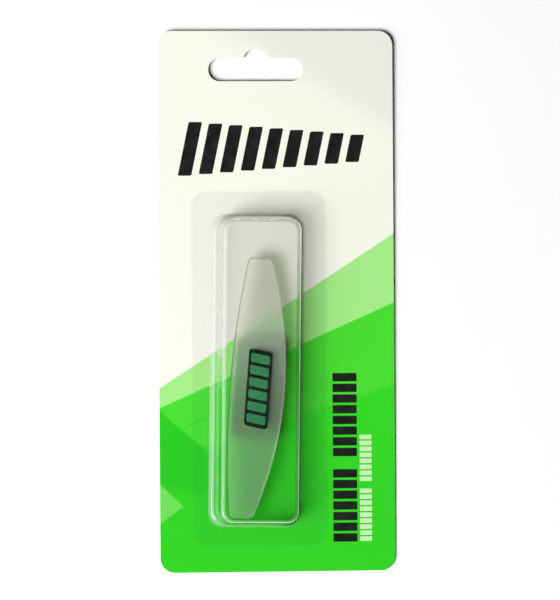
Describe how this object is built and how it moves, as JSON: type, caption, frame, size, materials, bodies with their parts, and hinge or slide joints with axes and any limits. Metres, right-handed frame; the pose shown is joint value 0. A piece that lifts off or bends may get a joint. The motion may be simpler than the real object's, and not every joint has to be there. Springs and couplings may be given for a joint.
{
  "type": "vibration dampener",
  "caption": "Leaf-shaped frosted silicone string dampener with a dark damping core, held under a clear blister dome on a printed hang card.",
  "frame": {"origin": "centre of the card's underside, which is the bottom centre of the whole pack's box", "axes": "the card lies on its back: +Z is the card's normal, +Y runs up the card to the hang slot, +X is the card's right-hand side"},
  "size_m": [0.08, 0.1816, 0.013],
  "materials": {
    "printed_card": "gloss-coated print, bright green over off-white",
    "clear_blister": "clear thermoformed sheet",
    "frosted_silicone": "frosted, translucent",
    "core_rubber": "matt, deep green",
    "emblem_black": "satin",
    "emblem_green": "satin"
  },
  "bodies": {
    "card": {"backing_card": "printed_card"},
    "blister": {"blister_shell": "clear_blister"},
    "dampener": {"dampener_body": "frosted_silicone", "damping_core": "core_rubber", "emblem_plate": "emblem_black", "emblem_bar_1": "emblem_green", "emblem_bar_2": "emblem_green", "emblem_bar_3": "emblem_green", "emblem_bar_4": "emblem_green", "emblem_bar_5": "emblem_green", "emblem_bar_6": "emblem_green"}
  },
  "joints": [
    {"name": "blister_lift", "type": "slide", "parent": "card", "child": "blister", "axis": [0, 0, 1], "range_m": [0, 0.04]},
    {"name": "dampener_lift", "type": "slide", "parent": "card", "child": "dampener", "axis": [0, 0, 1], "range_m": [0, 0.02]}
  ],
  "couplings": [
    {"joint": "dampener_lift", "follows": "blister_lift", "ratio": 0.5}
  ]
}
